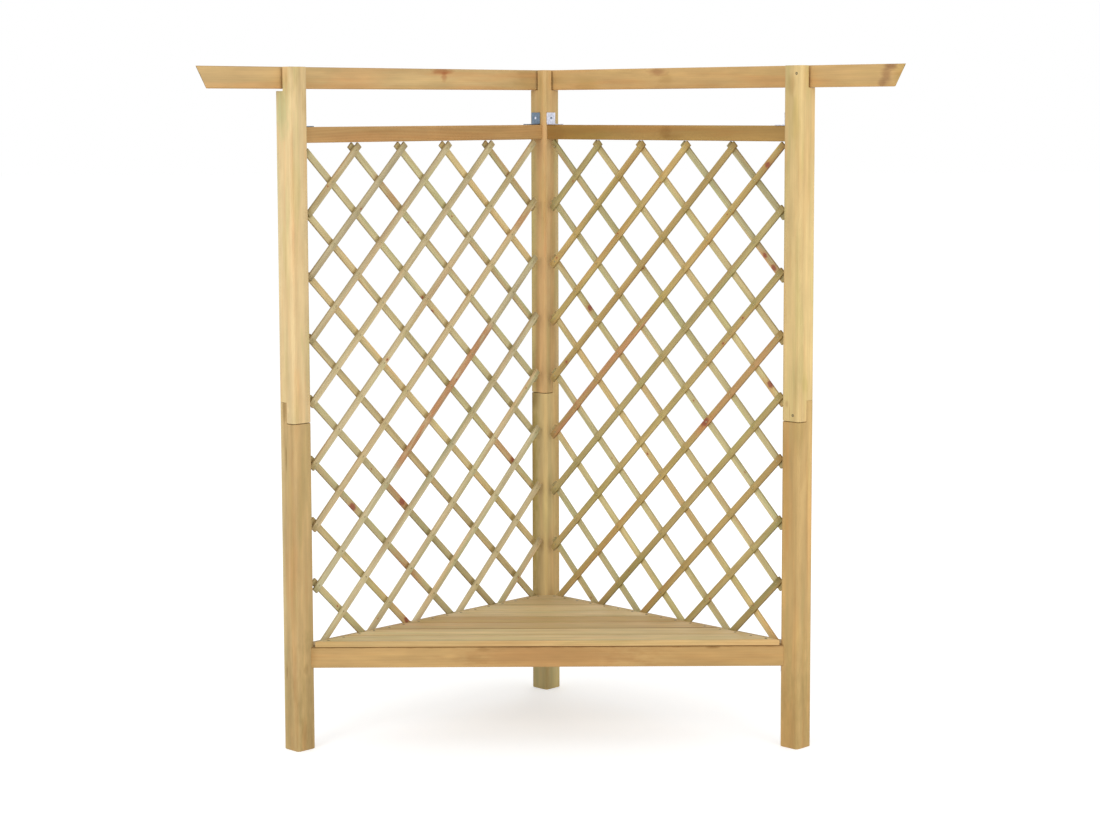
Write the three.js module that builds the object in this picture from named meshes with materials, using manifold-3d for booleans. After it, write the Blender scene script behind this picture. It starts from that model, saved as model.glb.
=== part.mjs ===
// Corner arbour seat in pressure-treated pine. Three two-part posts stand at the corners of a
// right-angled triangle. Two top beams run over them and past the front posts, two panels of
// expanding trellis hang between rails, and a slatted seat fills the corner behind a front apron.
// Millimetres, +Z up. The open side faces -Y, and the origin is on the ground in the middle.
import * as THREE from 'three';
import { mergeVertices } from 'three/addons/utils/BufferGeometryUtils.js';
import Module from 'manifold-3d';

// Overall sizes
const overallHeight = 1970;
const postSpacing = 1019.6;
const fit = 0.3;

// Posts, each of two halves that meet in a half lap
const postSide = 66;
const postArris = 10;
const lapBottom = 954;
const lapLength = 61;
const lapShoulderGap = 2;

// Top beams, cut alike with a compound mitre and let into the outer half of the posts
const beamHeight = 62;
const beamThickness = 28;
const beamLength = 1383;
const beamEndSetBack = 35;
const beamArris = 3;
const beamNotchDepth = 35;
const beamJointGap = 5;
const leftNotchDrop = 6;

// Rails of the trellis panels
const railSide = 45;
const railArris = 4;
const railBelowBeam = 108;

// Seat
const seatHeight = 318;
const slatThickness = 16;
const slatWidth = 81;
const slatGap = 2;
const slatArris = 2;
const slatEndToPost = 13;
const seatToRearPost = 45;
const frontSlatOverhang = 5;
const apronHeight = 62;
const apronThickness = 28;
const apronArris = 3;
const apronPastPostCorner = 11;

// Expanding trellis: a column or row pair is one whole mesh of the net
const lathWidth = 19.5;
const lathThickness = 7.2;
const trellisInset = 15;
const columnPairs = 5;
const rowPairs = 8;
const topCrossingDrop = 22.5;
const lastCrossingRise = 83;
const sideCrossingGap = 27.6;
const leftTrellisShift = 20;
const rightTrellisShift = 3;
const leftTrellisLean = 24;
const rivetRadius = 2;
const rivetHeadRadius = 3;
const rivetHeadHeight = 1;

// Zinc angle brackets at the rail ends
const bracketLeg = 38;
const bracketWidth = 37;
const bracketThickness = 2.5;
const bracketCorner = 4;
const bracketHoleRadius = 3;
const leftBracketShift = -5;
const rightBracketShift = 7;

// Derived places. Along a panel, lengths run from the rear post's centre towards the front post.
const postHalf = postSide / 2;
const halfRail = railSide / 2;
const frontFace = postSpacing - postHalf;
const lapTop = lapBottom + lapLength;
const beamBottom = overallHeight - beamHeight;
const beamInner = beamThickness - postHalf;
const upperRailTop = beamBottom - railBelowBeam;
const upperRailBottom = upperRailTop - railSide;
const bearerTop = seatHeight - slatThickness - fit;
const lowerRailBottom = bearerTop - railSide;
const bearerOuter = halfRail + fit;
const bearerInner = bearerOuter + railSide;
const seatEdge = postHalf + slatEndToPost;
const apronFront = (frontFace + postHalf) / Math.SQRT2 + apronPastPostCorner;
const apronBack = apronFront - apronThickness;
const seatFront = apronFront + frontSlatOverhang;
const seatRear = postSide / Math.SQRT2 + seatToRearPost;
const arcSteps = 4;

const sides = [
  { name: 'left', turn: (5 * Math.PI) / 4, inward: 1, bracketShift: leftBracketShift },
  { name: 'right', turn: -Math.PI / 4, inward: -1, bracketShift: rightBracketShift },
];
const [leftSide, rightSide] = sides;
leftSide.notchDrop = leftNotchDrop;
rightSide.notchDrop = 0;
leftSide.trellis = { shift: leftTrellisShift, lean: leftTrellisLean, frontLaths: 'fromRear' };
rightSide.trellis = { shift: rightTrellisShift, lean: 0, frontLaths: 'fromFront' };

const finishes = {
  upperPost: { color: 0xd8be84, roughness: 0.75 },
  lowerPost: { color: 0xc0a164, roughness: 0.78 },
  beam: { color: 0xcda86e, roughness: 0.75 },
  rail: { color: 0xa9824d, roughness: 0.78 },
  apron: { color: 0xbf935b, roughness: 0.75 },
  slat: { color: 0xbaa170, roughness: 0.8 },
  lath: { color: 0xb5a16f, roughness: 0.82 },
  zinc: { color: 0xb9bfc4, roughness: 0.38, metalness: 0.9 },
};

const wasm = await Module();
wasm.setup();

const arbour = new THREE.Group();

// Solids and helpers

function toSolid(geometry) {
  const bare = geometry.clone();
  bare.deleteAttribute('normal');
  bare.deleteAttribute('uv');
  const merged = mergeVertices(bare);
  const vertProperties = new Float32Array(merged.attributes.position.array);
  const triVerts = new Uint32Array(merged.index.array);
  return new wasm.Manifold(new wasm.Mesh({ numProp: 3, vertProperties, triVerts }));
}

function toGeometry(solid) {
  const mesh = solid.getMesh();
  const geometry = new THREE.BufferGeometry();
  geometry.setAttribute('position', new THREE.BufferAttribute(mesh.vertProperties, 3));
  geometry.setIndex(new THREE.BufferAttribute(mesh.triVerts, 1));
  geometry.computeVertexNormals();
  return geometry;
}

function addPiece(parent, name, geometry, finish) {
  const material = new THREE.MeshStandardMaterial({ metalness: 0, ...finishes[finish] });
  const piece = new THREE.Mesh(geometry, material);
  piece.name = name;
  parent.add(piece);
  return piece;
}

function outline(points) {
  return new THREE.Shape(points.map(([x, y]) => new THREE.Vector2(x, y)));
}

function roundedSquare(side, radius) {
  const reach = side / 2;
  const centre = reach - radius;
  const shape = new THREE.Shape();
  shape.moveTo(reach, -centre);
  shape.absarc(centre, centre, radius, 0, Math.PI / 2, false);
  shape.absarc(-centre, centre, radius, Math.PI / 2, Math.PI, false);
  shape.absarc(-centre, -centre, radius, Math.PI, (3 * Math.PI) / 2, false);
  shape.absarc(centre, -centre, radius, (3 * Math.PI) / 2, 2 * Math.PI, false);
  return shape;
}

function extrude(shape, depth, bevel = 0) {
  return new THREE.ExtrudeGeometry(shape, {
    depth: depth - 2 * bevel,
    curveSegments: arcSteps,
    bevelEnabled: bevel > 0,
    bevelThickness: bevel,
    bevelSize: bevel,
    bevelOffset: -bevel,
    bevelSegments: 2,
  }).translate(0, 0, bevel);
}

// An outline drawn in plan, raised from one height to another
function raised(shape, bottom, top, bevel = 0) {
  return extrude(shape, top - bottom, bevel).translate(0, 0, bottom);
}

// An outline drawn along the panel and upwards, thickened between two offsets across it
function across(shape, from, to, bevel = 0) {
  return extrude(shape, to - from, bevel).rotateX(Math.PI / 2).translate(0, to, 0);
}

function block([x0, x1], [y0, y1], [z0, z1]) {
  const box = new THREE.BoxGeometry(x1 - x0, y1 - y0, z1 - z0);
  return box.translate((x0 + x1) / 2, (y0 + y1) / 2, (z0 + z1) / 2);
}

// Offsets across a panel, from its centre plane inwards, ordered for the side's own axes
function acrossSpan(side, outer, inner) {
  const ends = [side.inward * outer, side.inward * inner];
  return ends.sort((a, b) => a - b);
}

// Posts

const wholeSection = [-postSide, postSide];
const upperSide = [-fit / 2, postSide];
const lowerSide = [-postSide, fit / 2];

function post(bottom, top, cuts) {
  let solid = toSolid(raised(roundedSquare(postSide, postArris), bottom, top));
  for (const cut of cuts) {
    solid = solid.subtract(toSolid(cut));
  }
  return toGeometry(solid);
}

const notchSide = [-postSide, beamNotchDepth - postHalf];
const lapCut = [lapBottom, lapTop + fit];
const upperPostBottom = lapBottom + lapShoulderGap;

// Height range of the notch that a beam lies in
function beamNotch(drop) {
  return [beamBottom - fit - drop, overallHeight + fit];
}

// A front post laps and is notched parallel to its inner face
function frontPost(panel, side) {
  const inner = acrossSpan(side, ...upperSide);
  const outer = acrossSpan(side, ...lowerSide);
  const lower = post(0, lapTop, [block(wholeSection, inner, lapCut)]);
  const upper = post(upperPostBottom, overallHeight, [
    block(wholeSection, outer, lapCut),
    block(wholeSection, acrossSpan(side, ...notchSide), beamNotch(side.notchDrop)),
  ]);
  const lowerPiece = addPiece(panel, `post_${side.name}_lower`, lower, 'lowerPost');
  const upperPiece = addPiece(panel, `post_${side.name}_upper`, upper, 'upperPost');
  lowerPiece.position.x = postSpacing;
  upperPiece.position.x = postSpacing;
}

// The rear post laps across the left panel and keeps only its inner quarter between the beams
function rearPost(panel) {
  const lower = post(0, lapTop, [block(upperSide, wholeSection, lapCut)]);
  const upper = post(upperPostBottom, overallHeight, [
    block(lowerSide, wholeSection, lapCut),
    block(notchSide, wholeSection, beamNotch(0)),
    block(wholeSection, notchSide, beamNotch(0)),
  ]);
  addPiece(panel, 'post_rear_lower', lower, 'lowerPost');
  addPiece(panel, 'post_rear_upper', upper, 'upperPost');
}

// Beams and rails

// The left beam runs through to the back of the rear post, and the right beam ends beside it.
// The tip leans out at the top, and its mitre leaves the inner face longer than the outer one.
function topBeam(panel, side) {
  const start = side === leftSide ? -postHalf : beamInner + beamJointGap;
  const tip = start + beamLength;
  const profile = outline([
    [start, beamBottom],
    [tip - beamEndSetBack, beamBottom],
    [tip, overallHeight],
    [start, overallHeight],
  ]);
  const beam = across(profile, ...acrossSpan(side, -postHalf, beamInner), beamArris);
  const position = beam.attributes.position;
  for (let index = 0; index < position.count; index += 1) {
    const along = position.getX(index);
    if (along > postSpacing) {
      const depth = Math.abs(position.getY(index) - side.inward * beamInner);
      position.setX(index, along - depth);
    }
  }
  beam.computeVertexNormals();
  addPiece(panel, `top_beam_${side.name}`, beam, 'beam');
}

function rail(panel, name, bottom) {
  const length = frontFace - postHalf - 2 * fit;
  const geometry = extrude(roundedSquare(railSide, railArris), length).rotateY(Math.PI / 2);
  const piece = addPiece(panel, name, geometry, 'rail');
  piece.position.set(postHalf + fit, 0, bottom + halfRail);
}

// Angle brackets

function bracketGeometry() {
  const profile = new THREE.Shape();
  profile.moveTo(0, 0);
  profile.lineTo(bracketLeg, 0);
  profile.lineTo(bracketLeg, bracketThickness);
  profile.lineTo(bracketCorner + bracketThickness, bracketThickness);
  profile.absarc(
    bracketCorner + bracketThickness,
    bracketCorner + bracketThickness,
    bracketCorner,
    (3 * Math.PI) / 2,
    Math.PI,
    true,
  );
  profile.lineTo(bracketThickness, bracketLeg);
  profile.lineTo(0, bracketLeg);
  const plate = toSolid(across(profile, -bracketWidth / 2, bracketWidth / 2));
  const drill = new THREE.CylinderGeometry(bracketHoleRadius, bracketHoleRadius, bracketLeg, 3 * arcSteps);
  const holeAt = (bracketLeg + bracketCorner) / 2;
  const through = drill.clone().rotateX(Math.PI / 2).translate(holeAt, 0, 0);
  const sideways = drill.clone().rotateZ(Math.PI / 2).translate(0, 0, holeAt);
  return toGeometry(plate.subtract(toSolid(through)).subtract(toSolid(sideways)));
}

// One bracket at each end of a rail: on its top, or on its underside when it hangs below
function railBrackets(panel, side, level, height, hangs) {
  const ends = [
    { name: 'rear', at: postHalf + fit, turn: 0 },
    { name: 'front', at: frontFace - fit, turn: Math.PI },
  ];
  for (const end of ends) {
    const geometry = bracketGeometry().rotateZ(end.turn);
    if (hangs) {
      geometry.rotateX(Math.PI);
    }
    const name = `bracket_${level}_${side.name}_${end.name}`;
    const piece = addPiece(panel, name, geometry, 'zinc');
    piece.position.set(end.at, side.inward * side.bracketShift, height);
  }
}

// Trellis

const columns = 2 * columnPairs;
const rows = 2 * rowPairs;
const lathsEachWay = columnPairs + rowPairs - 1;
const columnStep = (frontFace - postHalf - 2 * sideCrossingGap) / columns;
const topCrossing = upperRailBottom - topCrossingDrop;
const rowStep = (topCrossing - bearerTop - lastCrossingRise) / (rows - 1);
const lathEndHeight = bearerTop + fit;
const layerOffset = (lathThickness + fit) / 2;

// Place of a crossing of the net: column from the rear post, row from the top
function crossing(side, column, row) {
  const { shift, lean } = side.trellis;
  const along = postHalf + sideCrossingGap + shift + columnStep * column - (lean * row) / rows;
  return new THREE.Vector2(along, topCrossing - rowStep * row);
}

// How far a lath runs past its last crossing, short of the rail above and the post beside it
function stubLength(point, direction) {
  const halfWidth = lathWidth / 2;
  const run = Math.abs(direction.x);
  const rise = Math.abs(direction.y);
  const face = direction.x > 0 ? frontFace - fit - point.x : point.x - postHalf - fit;
  const underRail = (topCrossingDrop - fit - halfWidth * run) / rise;
  const besidePost = (face - halfWidth * rise) / run;
  return Math.min(underRail, besidePost);
}

// Outline of a lath from its upper crossing to its lower one, cut level where it stands on the rail
function lathOutline(upper, lower, standsOnRail) {
  const direction = lower.clone().sub(upper).normalize();
  const aside = new THREE.Vector2(-direction.y, direction.x).multiplyScalar(lathWidth / 2);
  const back = direction.clone().negate();
  const start = upper.clone().addScaledVector(back, stubLength(upper, back));
  const end = lower.clone().addScaledVector(direction, standsOnRail ? 0 : stubLength(lower, direction));
  const corner = (base, sign) => base.clone().addScaledVector(aside, sign);
  const foot = (sign) => {
    const edge = corner(start, sign);
    return edge.addScaledVector(direction, (lathEndHeight - edge.y) / direction.y);
  };
  const ends = standsOnRail ? [foot(-1), foot(1)] : [corner(end, -1), corner(end, 1)];
  return new THREE.Shape([corner(start, 1), corner(start, -1), ...ends].reverse());
}

// A lath whose column and row add up to a constant: it rises away from the rear post
function lathFromFront(side, index) {
  const sum = 2 * (index + 1);
  const top = Math.min(columns, sum);
  const bottomRow = Math.min(rows, sum);
  const upper = crossing(side, top, sum - top);
  const lower = crossing(side, sum - bottomRow, bottomRow);
  return lathOutline(upper, lower, bottomRow === rows);
}

// A lath whose column less its row is constant: it rises towards the rear post
function lathFromRear(side, index) {
  const difference = 2 * (index + 1 - rowPairs);
  const topRow = Math.max(0, -difference);
  const bottomRow = Math.min(rows, columns - difference);
  const upper = crossing(side, difference + topRow, topRow);
  const lower = crossing(side, difference + bottomRow, bottomRow);
  return lathOutline(upper, lower, bottomRow === rows);
}

// The crossing lath that shares a pair's rivet: in the top, the middle or the bottom row
function partnerOf(index) {
  if (index < columnPairs - 1) {
    return index + rowPairs;
  }
  if (index >= lathsEachWay - columnPairs) {
    return index - rowPairs + 1;
  }
  return index + 1;
}

function rivet() {
  const shank = lathThickness + fit / 2;
  const head = shank + rivetHeadHeight;
  const profile = [
    [0, -head],
    [rivetHeadRadius / 2, -head],
    [rivetHeadRadius, -shank],
    [rivetRadius, -shank],
    [rivetRadius, shank],
    [rivetHeadRadius, shank],
    [rivetHeadRadius / 2, head],
    [0, head],
  ];
  return new THREE.LatheGeometry(profile.map(([x, y]) => new THREE.Vector2(x, y)), 2 * arcSteps);
}

function lathLayer(side, shape, layer) {
  const middle = trellisInset + layer * layerOffset;
  const span = acrossSpan(side, middle - lathThickness / 2, middle + lathThickness / 2);
  return toSolid(across(shape, ...span));
}

// Two crossing laths held by one rivet
function lathPair(panel, side, index) {
  const partner = partnerOf(index);
  const frontLayer = side.trellis.frontLaths === 'fromFront' ? 1 : -1;
  const one = lathLayer(side, lathFromFront(side, index), frontLayer);
  const other = lathLayer(side, lathFromRear(side, partner), -frontLayer);
  const column = index + partner + 2 - rowPairs;
  const row = index - partner + rowPairs;
  const place = crossing(side, column, row);
  const pin = rivet().translate(place.x, side.inward * trellisInset, place.y);
  const geometry = toGeometry(one.add(other).add(toSolid(pin)));
  const number = String(index + 1).padStart(2, '0');
  addPiece(panel, `lath_pair_${side.name}_${number}`, geometry, 'lath');
}

// Seat

// The left bearer runs to the rear post, and the right one butts against it
function seatBearer(panel, side) {
  const start = side === leftSide ? postHalf + fit : bearerInner + fit;
  const endAt = (offset) => (apronBack - fit) * Math.SQRT2 - offset;
  const corners = [
    [start, bearerOuter],
    [endAt(bearerOuter), bearerOuter],
    [endAt(bearerInner), bearerInner],
    [start, bearerInner],
  ];
  const plan = outline(corners.map(([along, offset]) => [along, side.inward * offset]));
  const geometry = raised(plan, lowerRailBottom, bearerTop);
  addPiece(panel, `seat_bearer_${side.name}`, geometry, 'rail');
}

// Half the width of the seat area at a distance in front of the rear post
function halfWidthAt(distance, offset) {
  return distance - offset * Math.SQRT2;
}

function boardAcross(front, back, offset) {
  const wide = halfWidthAt(front, offset);
  const narrow = halfWidthAt(back, offset);
  return outline([
    [-wide, -front],
    [wide, -front],
    [narrow, -back],
    [-narrow, -back],
  ]);
}

function seatApron() {
  const plan = boardAcross(apronFront, apronBack, postHalf + fit);
  const geometry = raised(plan, bearerTop - apronHeight, bearerTop, apronArris);
  addPiece(arbour, 'seat_apron', geometry, 'apron');
}

function seatSlats() {
  const pitch = slatWidth + slatGap;
  const count = Math.ceil((seatFront - seatRear) / pitch);
  for (let index = 0; index < count; index += 1) {
    const front = seatFront - pitch * index;
    const back = Math.max(front - slatWidth, seatRear);
    const plan = boardAcross(front, back, seatEdge);
    const geometry = raised(plan, bearerTop + fit, seatHeight, slatArris);
    addPiece(arbour, `seat_slat_${index + 1}`, geometry, 'slat');
  }
}

// Assembly

for (const side of sides) {
  const panel = new THREE.Group();
  panel.rotation.z = side.turn;
  arbour.add(panel);
  frontPost(panel, side);
  if (side === leftSide) {
    rearPost(panel);
  }
  topBeam(panel, side);
  rail(panel, `upper_rail_${side.name}`, upperRailBottom);
  rail(panel, `lower_rail_${side.name}`, lowerRailBottom);
  railBrackets(panel, side, 'upper', upperRailTop + fit, false);
  railBrackets(panel, side, 'lower', lowerRailBottom - fit, true);
  for (let index = 0; index < lathsEachWay; index += 1) {
    lathPair(panel, side, index);
  }
  seatBearer(panel, side);
}
seatApron();
seatSlats();

// The origin goes to the middle of the ground that the arbour covers
const middle = new THREE.Box3().setFromObject(arbour, true).getCenter(new THREE.Vector3());
arbour.position.set(-middle.x, -middle.y, 0);

export default arbour;
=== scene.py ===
import math
import random

import bmesh
import bpy
from mathutils import Matrix, Vector

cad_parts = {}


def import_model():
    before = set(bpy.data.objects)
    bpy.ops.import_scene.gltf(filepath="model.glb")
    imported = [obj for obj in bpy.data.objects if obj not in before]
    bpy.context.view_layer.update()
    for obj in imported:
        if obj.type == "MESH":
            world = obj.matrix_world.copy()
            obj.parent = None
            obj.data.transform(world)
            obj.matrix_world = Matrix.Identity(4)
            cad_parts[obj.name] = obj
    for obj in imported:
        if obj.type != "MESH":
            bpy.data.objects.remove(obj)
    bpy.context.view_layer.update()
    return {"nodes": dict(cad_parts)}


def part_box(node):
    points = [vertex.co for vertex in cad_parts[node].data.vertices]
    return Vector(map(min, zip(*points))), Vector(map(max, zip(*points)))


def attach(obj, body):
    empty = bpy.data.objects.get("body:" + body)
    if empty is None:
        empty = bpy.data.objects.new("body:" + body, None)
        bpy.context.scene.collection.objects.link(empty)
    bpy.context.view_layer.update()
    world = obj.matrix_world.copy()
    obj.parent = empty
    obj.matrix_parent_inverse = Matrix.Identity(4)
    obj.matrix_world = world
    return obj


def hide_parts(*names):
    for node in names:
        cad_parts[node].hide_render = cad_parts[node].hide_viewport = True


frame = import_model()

chance = random.Random(41)

UP = Vector((0, 0, 1))
SIDEWAYS = Vector((1, 0, 0))
FORWARDS = Vector((0, -1, 0))

# Posts, rails and fits
POST_SIDE = 0.066
POST_HALF = POST_SIDE / 2
FIT = 0.0003
EASED_EDGE = 0.0012
SLAT_EASED_EDGE = 0.0005
PLATE_EASED_EDGE = 0.0004
CREASE_ANGLE = math.radians(30)
FLAT_ANGLE = math.radians(0.5)
MERGE_DISTANCE = 0.00001
GRAIN_RELIEF = 0.0006

# Trellis net
LATH_WIDTH = 0.0195
LATH_THICKNESS = 0.0072
LATH_EASED_EDGE = 0.0006
TRELLIS_INSET = 0.015
COLUMNS = 10
ROWS = 16
TOP_CROSSING_DROP = 0.0225
LAST_CROSSING_RISE = 0.083
SIDE_CROSSING_GAP = 0.0276

# Marks on laths and slats: where each begins and ends to fade, and the strength of the painted shade and
# darker end grain at the laths' ends
RED_RIM = 0.03
RIVET_STAIN = (0.003, 0.016)
END_SHADE_AND_GRAIN_REACH = (0.006, 0.022)
END_SHADE_AND_GRAIN = 0.65
SIDE_SHADE_RIM = (0.0008, 0.0002)
SEAM_RIM = (0.007, 0.002)

# What is drawn at random: shifts of the grain, small knots and each lath's own tone
GRAIN_SHIFTS = (2, 60)
SMALL_KNOT_CHANCE = 0.35
SMALL_KNOT_ASIDE = 0.006
SMALL_KNOT_RADII = (0.002, 0.003)
LIGHT_SPREAD = 0.08
WARMTH_SPREAD = 0.07

# Rivets and screws
RIVET_RADIUS = 0.0018
RIVET_HEAD_RADIUS = 0.0028
RIVET_HEAD_HEIGHT = 0.0008
RIVET_CROWN_DROP = 0.0002
RIVET_CROWN_SHARE = 0.7
RIVET_SIDES = 8
SCREW_RADIUS = 0.0041
SCREW_PROUD = 0.0003
SCREW_DEPTH = 0.0024
SCREW_SIDES = 16
SCREW_RIM_FLARE = 1.08
SCREW_FOOT_SHARE = 0.5
CROSS_REACH = 0.0023
CROSS_HALF_WIDTH = 0.0006
CROSS_DEPTH = 0.0012
BRACKET_HOLE = 0.021
BRACKET_THICKNESS = 0.0025
SLATS = 8
SLAT_SCREW_INSET = 0.058
SLAT_SCREW_SHARES = (0.25, 0.75)

# Screws in the posts: across the post from its middle, and from the lap's end or the beam's middle up
LAP_SCREW_INSET = 0.018
LOWER_LAP_SCREW = 0.0086
UPPER_LAP_SCREW = -0.0138
LOWER_REAR_LAP_SCREW = -0.012
UPPER_REAR_LAP_SCREW = 0.010
UPPER_BEAM_SCREW = (0.0132, 0.008)
LOWER_BEAM_SCREW = (-0.0132, -0.012)
REAR_BEAM_SCREW = (0.018, -0.006)


def centre_of(node):
    """Middle of a node's box."""
    low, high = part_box(node)
    return (low + high) / 2


def in_metres(lengths):
    """Lengths from a table in millimetres."""
    return [length / 1000 for length in lengths]


def foot_of(node):
    """Middle of a post on the ground."""
    middle = centre_of(node)
    return Vector((middle.x, middle.y, 0))


REAR_POST = foot_of("post_rear_lower")


class Side:
    """One trellis panel: lengths run along it from the rear post, and inwards across it."""

    def __init__(self, name, mirror, shift, lean, rear_laths_in_front, crossing_shade_and_dirt):
        self.name = name
        self.front_post = foot_of(f"post_{name}_lower")
        self.along = (self.front_post - REAR_POST).normalized()
        self.inward = mirror * UP.cross(self.along)
        self.front_face = (self.front_post - REAR_POST).length - POST_HALF
        self.shift = shift
        self.lean = lean
        self.rear_laths_in_front = rear_laths_in_front
        self.crossing_shade_and_dirt = crossing_shade_and_dirt

    def place(self, along, inward, height):
        return REAR_POST + self.along * along + self.inward * inward + UP * height

    def matrix(self):
        turn = Matrix((self.along, self.inward, UP)).transposed().to_4x4()
        return Matrix.Translation(REAR_POST) @ turn


# crossing_shade_and_dirt is how strong the painted shadow and dirt on a panel's rear laths are at the
# crossings
LEFT = Side("left", 1, shift=0.020, lean=0.024, rear_laths_in_front=True, crossing_shade_and_dirt=0.9)
RIGHT = Side("right", -1, shift=0.003, lean=0, rear_laths_in_front=False, crossing_shade_and_dirt=0.35)
SIDES = (LEFT, RIGHT)

RAIL_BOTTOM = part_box("upper_rail_left")[0].z
BEARER_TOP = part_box("lower_rail_left")[1].z
TOP_CROSSING = RAIL_BOTTOM - TOP_CROSSING_DROP
ROW_STEP = (TOP_CROSSING - BEARER_TOP - LAST_CROSSING_RISE) / (ROWS - 1)
LATH_END_HEIGHT = BEARER_TOP + FIT
LATHS_EACH_WAY = (COLUMNS + ROWS) // 2 - 1
LAYER_OFFSET = (LATH_THICKNESS + FIT) / 2
NET_MIDDLE = (TOP_CROSSING + BEARER_TOP) / 2
COLUMN_STEP = (LEFT.front_face - POST_HALF - 2 * SIDE_CROSSING_GAP) / COLUMNS
LATH_STEP = math.hypot(COLUMN_STEP, ROW_STEP)


# Colours as they look on screen, turned into the linear values that the shaders use

def linear(level):
    return level / 12.92 if level <= 0.04045 else ((level + 0.055) / 1.055) ** 2.4


def shade(red, green, blue):
    return (linear(red), linear(green), linear(blue), 1.0)


# Node groups and materials

class Nodes:
    """Adds nodes to a tree; a value given is either a number or another node's output."""

    def __init__(self, tree):
        self.tree = tree

    def add(self, kind, **settings):
        node = self.tree.nodes.new(kind)
        for name, value in settings.items():
            setattr(node, name, value)
        return node

    def feed(self, socket, value):
        if isinstance(value, bpy.types.NodeSocket):
            self.tree.links.new(value, socket)
        else:
            socket.default_value = value

    def fill(self, node, *values):
        """Feeds a node's inputs in their order; gives its outputs."""
        for socket, value in zip(node.inputs, values):
            self.feed(socket, value)
        return node.outputs

    def math(self, operation, *values):
        return self.fill(self.add("ShaderNodeMath", operation=operation), *values)[0]

    def vector(self, operation, *values):
        outputs = self.fill(self.add("ShaderNodeVectorMath", operation=operation), *values)
        return outputs["Value" if operation == "LENGTH" else "Vector"]

    def split(self, vector):
        return self.fill(self.add("ShaderNodeSeparateXYZ"), vector)

    def join(self, x, y, z):
        return self.fill(self.add("ShaderNodeCombineXYZ"), x, y, z)[0]

    def group(self, tree, *values):
        return self.fill(self.add("ShaderNodeGroup", node_tree=tree), *values)

    def attribute(self, name, output="Vector"):
        return self.add("ShaderNodeAttribute", attribute_name=name).outputs[output]

    def mix(self, factor, first, second, blend="MIX"):
        node = self.add("ShaderNodeMix", data_type="RGBA", blend_type=blend)
        self.feed(node.inputs[0], factor)
        self.feed(node.inputs[6], first)
        self.feed(node.inputs[7], second)
        return node.outputs[2]

    def noise(self, vector, stretch, detail=2.0):
        """Noise with so many waves a metre along each axis."""
        node = self.add("ShaderNodeTexNoise")
        self.feed(node.inputs["Vector"], self.vector("MULTIPLY", vector, stretch))
        node.inputs["Scale"].default_value = 1
        node.inputs["Detail"].default_value = detail
        return node.outputs

    def step(self, value, low, high):
        """Smooth rise from 0 to 1 as the value passes from low to high."""
        node = self.add("ShaderNodeMapRange", interpolation_type="SMOOTHSTEP")
        return self.fill(node, value, low, high)[0]

    def fade(self, value, low, high):
        """Smooth fall from 1 to 0 as the value passes from low to high."""
        return self.math("SUBTRACT", 1.0, self.step(value, low, high))

    def around(self, value, amount):
        """A noise value from 0 to 1 turned into a factor round 1."""
        return self.math("MULTIPLY_ADD", self.math("SUBTRACT", value, 0.5), amount, 1)

    def lit(self, colour, factor):
        """The colour, made lighter or darker by a factor."""
        grey = self.fill(self.add("ShaderNodeCombineColor"), factor, factor, factor)[0]
        return self.mix(1.0, colour, grey, "MULTIPLY")

    def tinted(self, amount, colour, tint):
        """The colour, multiplied with a tint as far as the amount says."""
        return self.mix(amount, colour, self.mix(1.0, colour, tint, "MULTIPLY"))


# Colours of the grain and the knots; all but the core and the red wood multiply the wood's own colour
LATEWOOD = (0.76, 0.64, 0.50, 1)
GREENED = (0.80, 0.93, 0.80, 1)
WARMED = (1.02, 0.84, 0.74, 1)
STREAKED = (0.84, 0.75, 0.64, 1)
KNOT_HALO = (0.98, 0.78, 0.66, 1)
KNOT_CORE = shade(0.59, 0.32, 0.24)
RED_WOOD = shade(0.785, 0.585, 0.415)


def start_group(name, inputs, outputs):
    """An empty group with its sockets; gives its nodes, its inputs and its outputs."""
    tree = bpy.data.node_groups.new(name, "ShaderNodeTree")
    for way, sockets in (("INPUT", inputs), ("OUTPUT", outputs)):
        for label, kind in sockets.items():
            tree.interface.new_socket(label, in_out=way, socket_type=f"NodeSocket{kind}")
    nodes = Nodes(tree)
    return nodes, nodes.add("NodeGroupInput").outputs, nodes.add("NodeGroupOutput").inputs


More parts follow.
